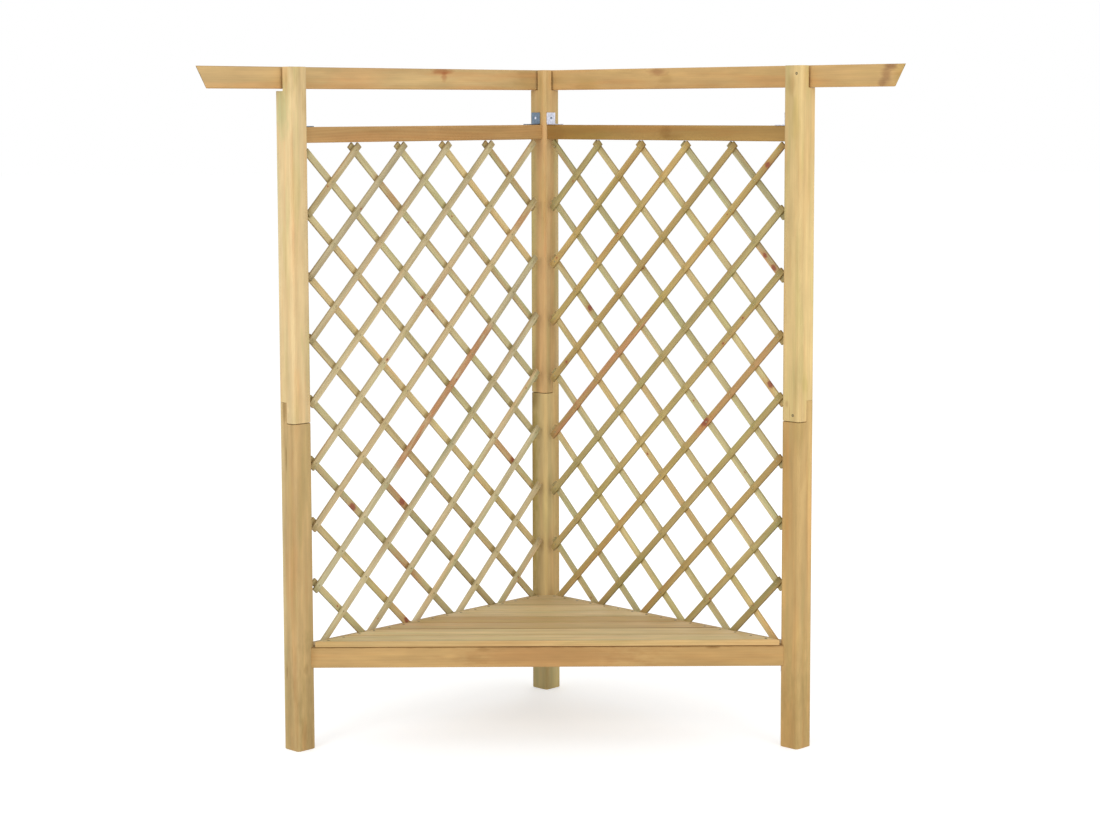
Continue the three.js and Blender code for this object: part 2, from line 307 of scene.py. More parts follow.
def softwood_group():
    """Pine grain in board coordinates: rings round a wandering pith, bands, fibres and tinges."""
    nodes, given, result = start_group(
        "softwood",
        {
            "Board": "Vector", "Seed": "Vector", "Tone": "Color", "Ring Width": "Float",
            "Ring Contrast": "Float", "Band Contrast": "Float", "Green Tinge": "Float", "Heartwood": "Float",
        },
        {"Color": "Color", "Roughness": "Float", "Height": "Float"},
    )
    seed_x, seed_y, seed_z = nodes.split(given["Seed"])
    board = nodes.vector("ADD", given["Board"], nodes.join(seed_x, 0.0, 0.0))

    wander = nodes.noise(board, (0.9, 3, 3), 1.0)["Color"]
    wander = nodes.vector("SUBTRACT", wander, (0.5, 0.5, 0.5))
    wander = nodes.vector("MULTIPLY", wander, (0, 0.05, 0.05))
    from_pith = nodes.vector("SUBTRACT", board, nodes.join(0.0, seed_y, seed_z))
    from_pith = nodes.vector("MULTIPLY", from_pith, (0, 1, 1))
    radius = nodes.vector("LENGTH", nodes.vector("ADD", from_pith, wander))

    wobble = nodes.math("MULTIPLY", nodes.noise(board, (5, 70, 70))["Fac"], 0.003)
    uneven = nodes.noise(nodes.join(radius, seed_x, 0.0), (45, 1, 1), 1.0)["Fac"]
    uneven = nodes.math("MULTIPLY", uneven, 0.010)
    reach = nodes.math("ADD", nodes.math("ADD", radius, wobble), uneven)
    year = nodes.math("FRACT", nodes.math("DIVIDE", reach, given["Ring Width"]))
    late = nodes.math("SUBTRACT", nodes.step(year, 0.20, 0.85), nodes.step(year, 0.86, 1.0))

    def patches(offset, stretch):
        return nodes.noise(nodes.vector("ADD", board, offset), stretch)["Fac"]

    band = nodes.noise(board, (1.0, 34, 34))["Fac"]
    mottle = patches((3, 5, 2), (9, 46, 46))
    tinge = patches((7, 3, 5), (3.4, 30, 30))
    pink = patches((2, 9, 4), (2.6, 34, 34))
    fibre = nodes.noise(board, (18, 620, 620))["Fac"]
    streak = patches((1, 6, 8), (4, 210, 210))

    depth = nodes.math("MULTIPLY", nodes.around(band, 0.9), nodes.around(mottle, 0.6))
    depth = nodes.math("MULTIPLY_ADD", nodes.math("SUBTRACT", depth, 1.0), given["Band Contrast"], 1.0)
    colour = nodes.lit(given["Tone"], depth)
    for mask, amount, tint in (
        (late, given["Ring Contrast"], LATEWOOD),
        (nodes.step(tinge, 0.46, 0.68), given["Green Tinge"], GREENED),
        (nodes.step(pink, 0.48, 0.68), given["Heartwood"], WARMED),
        (nodes.step(streak, 0.58, 0.76), 0.24, STREAKED),
    ):
        colour = nodes.tinted(nodes.math("MULTIPLY", mask, amount), colour, tint)
    colour = nodes.lit(colour, nodes.around(fibre, 0.10))

    nodes.feed(result["Color"], colour)
    roughness = nodes.math("MULTIPLY_ADD", late, -0.08, 0.68)
    nodes.feed(result["Roughness"], nodes.math("MULTIPLY", roughness, nodes.around(fibre, 0.15)))
    nodes.feed(result["Height"], nodes.math("MULTIPLY_ADD", late, 0.35, fibre))
    return nodes.tree


def knot_group():
    """One soft branch knot on a colour: its red core and the warm wood round it."""
    nodes, given, result = start_group(
        "knot",
        {"Board": "Vector", "Centre": "Vector", "Radius": "Float", "Wood": "Color"},
        {"Color": "Color"},
    )
    away = nodes.vector("SUBTRACT", given["Board"], given["Centre"])
    away = nodes.vector("MULTIPLY", away, (0.75, 1, 1))
    ragged = nodes.around(nodes.noise(given["Board"], (120, 220, 220))["Fac"], 0.9)
    distance = nodes.math("MULTIPLY", nodes.vector("LENGTH", away), ragged)
    share = nodes.math("DIVIDE", distance, given["Radius"])
    halo = nodes.math("MULTIPLY", nodes.fade(share, 0.7, 2.6), 0.7)
    core = nodes.math("MULTIPLY", nodes.fade(share, 0.45, 1.05), 0.9)
    colour = nodes.tinted(halo, given["Wood"], KNOT_HALO)
    nodes.feed(result["Color"], nodes.mix(core, colour, KNOT_CORE))
    return nodes.tree


def stain_and_shade_group():
    """A soft patch of another tint in the wood, with a ragged rim; most are stains, some are painted shade
    and one is painted light.
    """
    nodes, given, result = start_group(
        "stain",
        {
            "Board": "Vector", "Centre": "Vector", "Reach": "Vector", "Tint": "Color",
            "Strength": "Float", "Wood": "Color",
        },
        {"Color": "Color"},
    )
    away = nodes.vector("SUBTRACT", given["Board"], given["Centre"])
    away = nodes.vector("LENGTH", nodes.vector("DIVIDE", away, given["Reach"]))
    ragged = nodes.around(nodes.noise(given["Board"], (30, 110, 110))["Fac"], 1.1)
    amount = nodes.fade(nodes.math("MULTIPLY", away, ragged), 0.25, 1.15)
    amount = nodes.math("MULTIPLY", amount, given["Strength"])
    nodes.feed(result["Color"], nodes.tinted(amount, given["Wood"], given["Tint"]))
    return nodes.tree


SOFTWOOD = softwood_group()
KNOT = knot_group()
STAIN_AND_SHADE = stain_and_shade_group()

# Tints of patches in the wood, multiplied with its own colour; DARK and SHADOW also paint shade, and PALE
# once paints light
GREEN = (0.80, 0.97, 0.92, 1)
OLIVE = (0.78, 0.80, 0.55, 1)
BROWN = (0.80, 0.74, 0.64, 1)
ROSE = (1.0, 0.84, 0.78, 1)
RUST = (0.72, 0.47, 0.38, 1)
PLUM = (0.62, 0.47, 0.46, 1)
PALE = (1.14, 1.14, 1.14, 1)
MOSS = (1.10, 1.28, 1.50, 1)
AMBER = (1.02, 0.91, 0.79, 1)
ORANGE = (1.02, 0.88, 0.76, 1)
DARK = (0.62, 0.56, 0.44, 1)
SHADOW = (0.42, 0.36, 0.27, 1)
MAUVE = (0.62, 0.52, 0.54, 1)
CLAY = (0.84, 0.70, 0.62, 1)
DAMP = (0.74, 0.745, 0.65, 1)
MIST = (0.86, 1.04, 1.18, 1)
SAP = (0.97, 1.14, 1.06, 1)


def start_material(name):
    """A new material; gives it with its nodes and its shader's inputs."""
    material = bpy.data.materials.new(name)
    material.use_nodes = True
    return material, Nodes(material.node_tree), material.node_tree.nodes["Principled BSDF"].inputs


def wood_material(
    name, ring_width, rings=0.5, bands=0.35, green=0.5, heart=0.5, stains_and_shade=(), bump=0.10, extra=None
):
    """Softwood that follows each board. Each stain, and each patch of painted shade or light, is a centre
    and a reach along, across and through the board, a tint and a strength."""
    material, nodes, shader = start_material(name)
    board = nodes.attribute("board")
    grain = nodes.group(
        SOFTWOOD, board, nodes.attribute("seed"), nodes.attribute("tone", "Color"),
        ring_width, rings, bands, green, heart,
    )
    colour = grain["Color"]
    for centre, reach, tint, strength in stains_and_shade:
        colour = nodes.group(
            STAIN_AND_SHADE, board, in_metres(centre), in_metres(reach), tint, strength, colour
        )["Color"]
    if extra:
        colour = extra(nodes, board, colour)
    nodes.feed(shader["Base Color"], colour)
    nodes.feed(shader["Roughness"], grain["Roughness"])
    shader["Specular IOR Level"].default_value = 0.3
    relief = nodes.add("ShaderNodeBump")
    relief.inputs["Strength"].default_value = bump
    relief.inputs["Distance"].default_value = GRAIN_RELIEF
    nodes.feed(relief.inputs["Height"], grain["Height"])
    nodes.feed(shader["Normal"], relief.outputs["Normal"])
    return material


def lath_marks(nodes, board, colour):
    """Painted shade on the narrow sides, painted shade and darker end grain at the ends, a red stretch,
    stains and painted shadow with dirt at the crossings, and two knots.
    """
    along, across, _ = nodes.split(board)
    first, last, strength = nodes.split(nodes.attribute("red_stretch"))
    begun, ended = [
        nodes.step(along, nodes.math("SUBTRACT", place, RED_RIM), nodes.math("ADD", place, RED_RIM))
        for place in (first, last)
    ]
    patchy = nodes.step(nodes.noise(board, (14, 60, 60))["Fac"], 0.28, 0.56)
    red = nodes.math("MULTIPLY", nodes.math("SUBTRACT", begun, ended), patchy)
    grain = nodes.vector("DIVIDE", colour, nodes.attribute("tone", "Color"))
    red_wood = nodes.vector("MULTIPLY", grain, RED_WOOD[:3])
    colour = nodes.mix(nodes.math("MULTIPLY", red, strength), colour, red_wood)

    off_rivet = nodes.math("PINGPONG", along, LATH_STEP / 2)
    off_rivet = nodes.vector("LENGTH", nodes.join(off_rivet, across, 0.0))
    wet = nodes.math("MULTIPLY", nodes.fade(off_rivet, *RIVET_STAIN), 0.35)
    colour = nodes.tinted(wet, colour, OLIVE)

    # Painted shadow, with some dirt, on a rear lath just above each crossing, beside the front lath's edge
    cycle = nodes.math("FRACT", nodes.math("DIVIDE", along, LATH_STEP))
    crossing_shade_and_dirt = nodes.step(cycle, 1 - LATH_WIDTH / LATH_STEP, 1 - LATH_WIDTH / 2 / LATH_STEP)
    crossing_shade_and_dirt = nodes.math("MULTIPLY", crossing_shade_and_dirt, nodes.split(nodes.attribute("behind"))[0])
    colour = nodes.tinted(crossing_shade_and_dirt, colour, DARK)

    # Painted shade where a lath's end meets a post or the rail, together with its darker end grain
    top, foot, end_shade_and_grain = nodes.split(nodes.attribute("ends"))
    from_end = nodes.math("MINIMUM", nodes.math("SUBTRACT", along, top), nodes.math("SUBTRACT", foot, along))
    end_shade_and_grain = nodes.math("MULTIPLY", nodes.fade(from_end, *END_SHADE_AND_GRAIN_REACH), end_shade_and_grain)
    colour = nodes.tinted(end_shade_and_grain, colour, DARK)

    flat = nodes.join(along, across, 0.0)
    for name in ("knot_a", "knot_b"):
        place, beside, radius = nodes.split(nodes.attribute(name))
        colour = nodes.group(KNOT, flat, nodes.join(place, beside, 0.0), radius, colour)["Color"]

    # Painted shade on the lath's narrow sides
    edge = nodes.step(nodes.math("ABSOLUTE", across), *[LATH_WIDTH / 2 - rim for rim in SIDE_SHADE_RIM])
    return nodes.tinted(nodes.math("MULTIPLY", edge, 0.45), colour, DARK)


def slat_seam_shade(nodes, board, colour):
    """Painted shade along the long edges of the slats, where they meet, as strong as each slat says."""
    across = nodes.split(board)[1]
    front, back, half = nodes.split(nodes.attribute("seam"))
    for strength, toward in ((front, across), (back, nodes.math("MULTIPLY", across, -1.0))):
        rim = nodes.step(toward, *[nodes.math("SUBTRACT", half, rim) for rim in SEAM_RIM])
        colour = nodes.tinted(nodes.math("MULTIPLY", rim, strength), colour, DARK)
    return colour


def zinc_material(name, tone):
    """Zinc plate with a fine crystal pattern and duller clouds."""
    material, nodes, shader = start_material(name)
    place = nodes.add("ShaderNodeTexCoord").outputs["Object"]
    cloud = nodes.noise(place, (110, 110, 110), 3.0)["Fac"]
    crystals = nodes.add("ShaderNodeTexVoronoi")
    nodes.feed(crystals.inputs["Vector"], place)
    crystals.inputs["Scale"].default_value = 260
    spangle = nodes.split(crystals.outputs["Color"])[0]
    worn = nodes.math("MULTIPLY", nodes.around(cloud, 1.1), nodes.around(spangle, 0.16))
    nodes.feed(shader["Base Color"], nodes.lit(tone, worn))
    nodes.feed(shader["Roughness"], nodes.math("MULTIPLY_ADD", cloud, 0.35, 0.20))
    shader["Metallic"].default_value = 1.0
    return material


def steel_material(name, dark, light):
    """Dull stained steel of the screws or rivets."""
    material, nodes, shader = start_material(name)
    place = nodes.add("ShaderNodeTexCoord").outputs["Object"]
    stain = nodes.noise(place, (300, 300, 300))["Fac"]
    nodes.feed(shader["Base Color"], nodes.mix(stain, dark, light))
    nodes.feed(shader["Roughness"], nodes.math("MULTIPLY_ADD", stain, 0.3, 0.35))
    shader["Metallic"].default_value = 0.7
    return material


# Pieces

def new_object(name, data):
    made = bpy.data.objects.new(name, data)
    bpy.context.scene.collection.objects.link(made)
    return made


def new_mesh(name, bm):
    """The bmesh as a mesh; the bmesh itself is let go."""
    mesh = bpy.data.meshes.new(name)
    bm.to_mesh(mesh)
    bm.free()
    return mesh


def finish_piece(bm, name, material, nodes=()):
    """Turns a bmesh in its place into a named piece that rides on the arbour."""
    mesh = new_mesh(name, bm)
    mesh.shade_smooth()
    mesh.materials.append(material)
    piece = new_object(name, mesh)
    even = piece.modifiers.new("even_shading", "WEIGHTED_NORMAL")
    even.keep_sharp = True
    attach(piece, "root")
    if nodes:
        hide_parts(*nodes)
    return piece


def write_attribute(mesh, name, values, kind="FLOAT_VECTOR", field="vector"):
    layer = mesh.attributes.new(name, kind, "POINT")
    layer.data.foreach_set(field, [number for value in values for number in value])


def lay_grain(piece, origin, along, across, tone, pith, lean=0.0, fall=0.0, **extras):
    """Gives a board its own coordinates, its pith and its tone, which may lean to one of two faces or
    fall off towards the foot of the trellis."""
    through = along.cross(across)
    mesh = piece.data
    seed = (chance.uniform(*GRAIN_SHIFTS), *in_metres(pith))
    offsets = [vertex.co - origin for vertex in mesh.vertices]
    places = [(offset.dot(along), offset.dot(across), offset.dot(through)) for offset in offsets]
    tones = []
    for place, vertex in zip(places, mesh.vertices):
        factor = 1 + lean * (place[2] - place[1]) / POST_SIDE
        factor += fall * (vertex.co.z - NET_MIDDLE) / NET_MIDDLE
        tones.append([level * factor for level in tone[:3]] + [1.0])
    write_attribute(mesh, "board", places)
    write_attribute(mesh, "tone", tones, "FLOAT_COLOR", "color")
    for name, value in {"seed": seed, **extras}.items():
        write_attribute(mesh, name, [value] * len(places))


def ease_edges(bm, width, segments=2):
    """Rounds every edge that is sharper than the curve of a rounded corner."""
    creases = [
        edge for edge in bm.edges if edge.is_manifold and edge.calc_face_angle(0) > CREASE_ANGLE
    ]
    bmesh.ops.bevel(
        bm, geom=creases, offset=width, offset_type="OFFSET", segments=segments,
        profile=0.5, affect="EDGES", material=-1, clamp_overlap=True,
    )


def merged_copy(node):
    """A node's solid as one closed mesh with whole faces."""
    bm = bmesh.new()
    bm.from_mesh(frame["nodes"][node].data)
    bmesh.ops.remove_doubles(bm, verts=bm.verts, dist=MERGE_DISTANCE)
    bmesh.ops.dissolve_limit(
        bm, angle_limit=FLAT_ANGLE, use_dissolve_boundaries=False,
        verts=bm.verts, edges=bm.edges, delimit={"NORMAL"},
    )
    return bm


def dressed_board(node, material, slot, origin, along, across, tone, pith, width=EASED_EDGE, **extras):
    bm = merged_copy(node)
    ease_edges(bm, width)
    piece = finish_piece(bm, node + "_board", material, [node])
    lay_grain(piece, origin, along, across, shade(*tone), pith, **extras)


def brackets(lit_plate, shaded_plate):
    for side in SIDES:
        for level in ("upper", "lower"):
            for end in ("rear", "front"):
                node = f"bracket_{level}_{side.name}_{end}"
                bm = merged_copy(node)
                ease_edges(bm, PLATE_EASED_EDGE, 1)
                # The left plates take the shaded copy of the zinc, the right plates the lit copy
                finish_piece(bm, node + "_plate", shaded_plate if side is LEFT else lit_plate, [node])


def random_pith(aside, near, far):
    """A pith on one side of a board, a little off its middle."""
    return (chance.uniform(-aside, aside), chance.choice((-1, 1)) * chance.uniform(near, far))


# Timber, in tables of each board's tone on screen, and its pith and stains in millimetres; a few of the
# stains are painted shade or light. A stain's reach WHOLE spans the board, and FACE is where a post's faces
# lie.

WHOLE = (60, 60)
FACE = 33

# Posts: name, half, tone, pith, how the tone leans to one of the two faces seen, and stains, among them
# painted shade at the laps and painted light on the rear foot
POSTS = (
    ("left", "upper", (0.9, 0.79, 0.585), (62, 15), -0.03, (
        ((1945, 0, 0), (85, *WHOLE), BROWN, 0.65),
        ((1860, FACE, 0), (110, 30, 36), GREEN, 0.9),
        ((1865, -22, FACE), (40, 14, 30), BROWN, 0.6),
        ((1500, FACE, -FACE), (420, 20, 26), MOSS, 0.45),
        ((1560, 26, FACE), (330, 6, 30), ROSE, 0.6),
        ((1370, -22, FACE), (130, 14, 30), PALE, 0.6),
        ((1080, FACE, 0), (110, 30, 18), BROWN, 0.35),
        ((1020, 20, FACE), (130, 14, 30), ORANGE, 0.6),
        ((996, FACE, 8), (12, 20, 6), PALE, 0.9),
    )),
    ("right", "upper", (0.89, 0.773, 0.538), (-20, 70), 0.16, (
        ((1600, 0, 12), (300, 50, 10), ROSE, 0.35),
        ((1065, 10, FACE), (35, 20, 20), OLIVE, 0.35),
        ((1820, FACE, 12), (90, 30, 18), OLIVE, 0.45),
        ((1915, FACE, -6), (35, 20, 18), BROWN, 0.8),
        ((1006, FACE, -13), (12, 20, 7), PLUM, 0.45),
        # painted shade in the lap's seam
        ((985, FACE, -3), (34, 20, 1.4), DARK, 0.6),
    )),
    ("rear", "upper", (0.83, 0.69, 0.47), (50, -30), 0.05, (
        ((1300, FACE, 12), (900, 24, 26), ROSE, 0.5),
        ((1600, FACE, FACE), (400, 10, 10), ROSE, 0.5),
        ((1400, FACE, -FACE), (700, 20, 40), SAP, 1.0),
        ((1120, FACE, -2), (300, 20, 12), BROWN, 0.7),
        ((1400, -FACE, FACE), (700, 30, 20), MOSS, 0.9),
        ((1350, -2, FACE), (700, 18, 12), BROWN, 0.6),
        # painted shadow beside the lap
        ((1020, FACE, -12), (90, 20, 24), DARK, 0.5),
    )),
    ("left", "lower", (0.8, 0.675, 0.465), (-45, 40), 0.0, (
        ((760, 10, FACE), (150, 12, 30), BROWN, 0.3),
        ((560, FACE, -FACE), (760, 30, 24), MOSS, 0.8),
        # painted shade in the lap's seam and beside it
        ((860, FACE, -4), (55, 20, 3.5), DARK, 0.9),
        ((995, FACE, -10), (50, 20, 11), DARK, 0.8),
        ((550, FACE, 18), (500, 30, 16), ORANGE, 0.5),
        ((110, 0, 0), (280, *WHOLE), DAMP, 1.0),
        ((232, FACE, -14), (28, 20, 5), DARK, 0.8),
        ((236, 0, FACE), (20, 12, 20), DARK, 0.45),
        ((50, 10, FACE), (60, 16, 20), BROWN, 0.6),
    )),
    ("right", "lower", (0.815, 0.678, 0.445), (30, -60), 0.04, (
        ((780, -18, FACE), (420, 18, 20), PALE, 1.0),
        ((780, FACE, -16), (360, 20, 22), ORANGE, 0.7),
        ((930, 20, FACE), (80, 30, 30), BROWN, 0.3),
        ((110, 0, 0), (260, *WHOLE), DAMP, 0.95),
    )),
    ("rear", "lower", (0.815, 0.708, 0.482), (10, 55), 0.14, (
        ((650, FACE, -FACE), (600, 30, 40), OLIVE, 1.0),
        ((650, -FACE, FACE), (550, 34, 30), BROWN, 0.8),
        ((700, FACE, FACE), (500, 12, 12), PALE, 0.9),
        ((650, FACE, -30), (450, 30, 22), BROWN, 0.9),
        # painted shade below the lap's line
        ((936, FACE, -14), (50, 20, 26), DARK, 0.7),
        ((380, FACE, 0), (110, 20, 40), BROWN, 0.4),
        ((80, 0, 0), (200, *WHOLE), MIST, 0.8),
        # painted light on the foot's face, which the seat shades
        ((80, -10, FACE), (220, 50, 30), PALE, 1.0),
    )),
)


def posts():
    places = {"left": LEFT.front_post, "right": RIGHT.front_post, "rear": REAR_POST}
    grains = {
        "upper": dict(ring_width=0.0060, rings=0.14, bands=0.60, green=0.50, heart=0.35),
        "lower": dict(ring_width=0.0048, rings=0.18, bands=0.65, green=0.30, heart=0.45),
    }
    for name, half, tone, pith, lean, stains_and_shade in POSTS:
        dressed_board(
            f"post_{name}_{half}", wood_material(f"{name}_{half}_post_wood", stains_and_shade=stains_and_shade, **grains[half]),
            f"{half}_post", places[name], UP, LEFT.along, tone, pith, lean=lean,
        )


BEAMS = {
    "left": ((0.836, 0.704, 0.486), (-70, 30), (
        ((432, 24, 5), (50, 13, 30), RUST, 0.9),
        ((424, 8, 5), (15, 20, 30), RUST, 0.65),
        ((70, 0, 5), (70, *WHOLE), BROWN, 0.75),
        ((150, 0, 5), (110, *WHOLE), BROWN, 0.25),
        ((780, 0, 5), (150, *WHOLE), ROSE, 0.45),
        ((1140, 0, 5), (200, *WHOLE), ROSE, 0.15),
        ((700, -31, 5), (1300, 12, 30), ORANGE, 0.6),
    )),
    "right": ((0.82, 0.672, 0.446), (85, -10), (
        ((470, 20, -5), (40, 14, 30), PLUM, 0.75),
        ((505, -4, -5), (38, 18, 30), BROWN, 0.6),
        ((1332, 26, -5), (24, 14, 30), MAUVE, 1.0),
        ((1316, 0, -5), (20, 30, 30), MAUVE, 0.8),
        ((1302, -22, -5), (16, 18, 30), MAUVE, 0.8),
        ((1372, 0, -5), (36, *WHOLE), OLIVE, 0.5),
        ((180, -12, -5), (70, 30, 30), OLIVE, 0.35),
        ((760, 0, -5), (320, *WHOLE), BROWN, 0.25),
        ((700, -31, -5), (1300, 12, 30), ORANGE, 0.5),
    )),
}


def side_board(side, node, material, slot, tone, pith):
    """A board that runs along a panel."""
    origin = side.place(0, 0, centre_of(node).z)
    dressed_board(node, material, slot, origin, side.along, UP, tone, pith)


def beams():
    for side in SIDES:
        tone, pith, stains_and_shade = BEAMS[side.name]
        material = wood_material(
            f"{side.name}_beam_wood", ring_width=0.0052, rings=0.16, bands=0.6, green=0.15, stains_and_shade=stains_and_shade
        )
        side_board(side, f"top_beam_{side.name}", material, "beam", tone, pith)


UPPER_RAILS = {
    "left": ((0.765, 0.604, 0.386), (
        ((280, 0, -22), (240, *WHOLE), BROWN, 0.3),
        ((495, 2, -22), (30, 30, 20), PALE, 0.5),
        ((760, -10, -22), (200, 20, 20), ROSE, 0.5),
    )),
    "right": ((0.698, 0.552, 0.315), (
        ((170, 0, 22), (180, *WHOLE), OLIVE, 0.6),
        ((70, 0, 22), (50, *WHOLE), BROWN, 0.5),
        ((529, 4, 22), (30, 22, 20), BROWN, 0.9),
        ((545, -12, 22), (60, 12, 20), BROWN, 0.7),
    )),
}


def rails():
    hidden = wood_material("bearer_wood", ring_width=0.0040)
    for side in SIDES:
        tone, stains_and_shade = UPPER_RAILS[side.name]
        shown = wood_material(
            f"{side.name}_rail_wood", ring_width=0.0042, rings=0.35, bands=0.5, green=0.15, stains_and_shade=stains_and_shade
        )
        side_board(side, f"upper_rail_{side.name}", shown, "rail", tone, (45, 30))
        side_board(side, f"lower_rail_{side.name}", hidden, "rail", (0.72, 0.61, 0.42), (-50, 20))
        side_board(side, f"seat_bearer_{side.name}", hidden, "rail", (0.7, 0.58, 0.39), (30, -45))


APRON_STAINS_AND_SHADE = (
    # painted shadow along the apron's top, under the front slat's edge
    ((0, 31, 14), (3000, 5.6, 20), SHADOW, 0.95),
    ((-281, 2, 14), (30, 8, 30), PALE, 0.8),
    ((-188, 22, 14), (24, 8, 30), DARK, 0.45),
    ((-210, -10, 14), (40, 20, 30), BROWN, 0.45),
    ((10, 0, 14), (320, *WHOLE), CLAY, 0.75),
    ((480, 0, 14), (300, *WHOLE), BROWN, 0.45),
    ((-520, 6, 14), (150, 26, 30), PALE, 0.4),
    ((-690, 0, 14), (24, *WHOLE), BROWN, 0.7),
    ((478, 26, 14), (30, 6, 30), DARK, 0.8),
)


def seat():
    apron = wood_material(
        "apron_wood", ring_width=0.0070, rings=0.14, bands=0.50, green=0.1, heart=0.25, stains_and_shade=APRON_STAINS_AND_SHADE
    )
    dressed_board(
        "seat_apron", apron, "apron", centre_of("seat_apron"), SIDEWAYS, UP, (0.79, 0.64, 0.415),
        (55, 40),
    )
    grain = dict(ring_width=0.0055, rings=0.28, bands=0.55, green=0.35, heart=0.35, extra=slat_seam_shade)
    low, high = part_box("seat_slat_1")
    front_edge = (high.y - low.y) / 2 * 1000
    front_slat = wood_material(
        "front_slat_wood", stains_and_shade=(((0, front_edge, 0), (3000, 11, 60), AMBER, 1.0),), **grain
    )
    slat = wood_material("slat_wood", **grain)
    # Tone of each slat, and how strong the painted shade is along its front and its back edge
    looks = (
        ((0.818, 0.722, 0.52), 0, 0.35),
        ((0.81, 0.712, 0.508), 0.30, 0.95),
        ((0.762, 0.643, 0.436), 0.95, 0.25),
        ((0.722, 0.6, 0.38), 0.25, 0.25),
        ((0.818, 0.715, 0.515), 0.45, 0.20),
        ((0.805, 0.705, 0.505), 0.20, 0.30),
        ((0.752, 0.648, 0.448), 0.50, 0.20),
        ((0.746, 0.642, 0.45), 0.20, 0),
    )
    for number, (tone, front, back) in enumerate(looks, start=1):
        node = f"seat_slat_{number}"
        low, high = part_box(node)
        dressed_board(
            node, front_slat if number == 1 else slat, "slat", centre_of(node), SIDEWAYS, FORWARDS, tone,
            random_pith(30, 30, 80), SLAT_EASED_EDGE, seam=(front, back, (high.y - low.y) / 2),
        )


# Trellis

def crossing(side, column, row):
    """Place of a crossing in the panel, along it and upwards."""
    along = POST_HALF + SIDE_CROSSING_GAP + side.shift + COLUMN_STEP * column - side.lean * row / ROWS
    return Vector((along, TOP_CROSSING - ROW_STEP * row))


def stub_length(side, point, direction):
    """How far a lath runs past its last crossing before the rail above or the post beside it."""
    run, rise = abs(direction.x), abs(direction.y)
    face = side.front_face - FIT - point.x if direction.x > 0 else point.x - POST_HALF - FIT
    under_rail = (TOP_CROSSING_DROP - FIT - LATH_WIDTH / 2 * run) / rise
    beside_post = (face - LATH_WIDTH / 2 * rise) / run
    return min(under_rail, beside_post)


def lath_ends(side, from_rear, index):
    """First and last crossing of a lath, and whether it stands on the lower rail."""
    number = 2 * (index + 1)
    if from_rear:
        rows = (max(0, ROWS - number), min(ROWS, COLUMNS + ROWS - number))
        ends = [crossing(side, number - ROWS + row, row) for row in rows]
    else:
        rows = (max(0, number - COLUMNS), min(ROWS, number))
        ends = [crossing(side, number - row, row) for row in rows]
    return (*ends, rows[1] == ROWS)


def partner_of(index):
    """Index of the crossing lath that shares a node with this one."""
    pairs = COLUMNS // 2
    if index < pairs - 1:
        return index + ROWS // 2
    if index >= LATHS_EACH_WAY - pairs:
        return index - ROWS // 2 + 1
    return index + 1


# Knots seen in the laths, in millimetres: place along the panel, height and radius, and whether the
# lath rises to the rear post
KNOTS = {
    "left": (
        (687, 1113, 4.5, True), (593, 1514, 3.5, False),
        (577, 1496, 4, False), (538, 1289, 4.5, False),
        (497, 1244, 4, False), (696, 931, 4, False),
        (822, 688, 13.5, False), (628, 680, 12.5, False),
        (162, 755, 7.5, False), (614, 318, 10, False),
    ),
    "right": (
        (921, 1688, 10, False), (907, 1427, 8.5, True),
        (940, 1393, 10, True), (209, 1235, 10.5, True),
        (757, 1162, 4, False), (831, 1242, 4, False),
        (451, 803, 4, True), (930, 1055, 12, True),
        (687, 924, 16, False), (115, 1061, 4.5, False),
    ),
}

# Reddish stretches of laths, in millimetres: from one place along the panel and height to another,
# whether the lath rises to the rear post, and how strong they are
REDS = {
    "left": (
        ((270, 1190), (650, 785), True, 0.9),
        ((100, 1540), (145, 1490), True, 0.8),
        ((712, 1649), (622, 1569), False, 0.8),
        ((685, 737), (600, 652), False, 0.6),
        ((250, 843), (150, 743), False, 0.6),
        ((660, 532), (560, 432), False, 0.6),
    ),
    "right": (
        ((470, 1238), (60, 828), False, 0.85),
        ((950, 1190), (640, 880), False, 0.55),
        ((860, 1460), (950, 1370), True, 0.35),
    ),
}

# Place and radius of a missing mark, and how far off the middle a mark may be
NOWHERE = -9.0
NO_KNOT = 0.001
NEAR_LATH = 0.6 * LATH_WIDTH


def in_lath(point, upper, direction, length):
    """Place of a point along and across a lath, or nothing beside it."""
    away = Vector(point) - upper
    along = away.dot(direction)
    beside = away.x * -direction.y + away.y * direction.x
    if abs(beside) < NEAR_LATH and -LATH_WIDTH < along < length + LATH_WIDTH:
        return along, max(-LATH_WIDTH / 2, min(LATH_WIDTH / 2, beside))
    return None


def marks_of(side, from_rear, upper, direction, length):
    """Attributes of a lath: two knots, and the ends and strength of its red stretch."""
    knots = []
    for *lengths, rear in KNOTS[side.name]:
        along, height, radius = in_metres(lengths)
        spot = in_lath((along, height), upper, direction, length)
        if spot and rear == from_rear:
            knots.append((*spot, radius))
    while len(knots) < 2:
        if chance.random() < SMALL_KNOT_CHANCE:
            spot = (chance.uniform(0, length), chance.uniform(-SMALL_KNOT_ASIDE, SMALL_KNOT_ASIDE))
            knots.append((*spot, chance.uniform(*SMALL_KNOT_RADII)))
        else:
            knots.append((NOWHERE, 0, NO_KNOT))
    red = (NOWHERE, NOWHERE, 0)
    for first, last, rear, strength in REDS[side.name]:
        ends = [in_lath(in_metres(point), upper, direction, length) for point in (first, last)]
        if all(ends) and rear == from_rear:
            red = (ends[0][0], ends[1][0], strength)
    return {"knot_a": knots[0], "knot_b": knots[1], "red_stretch": red}


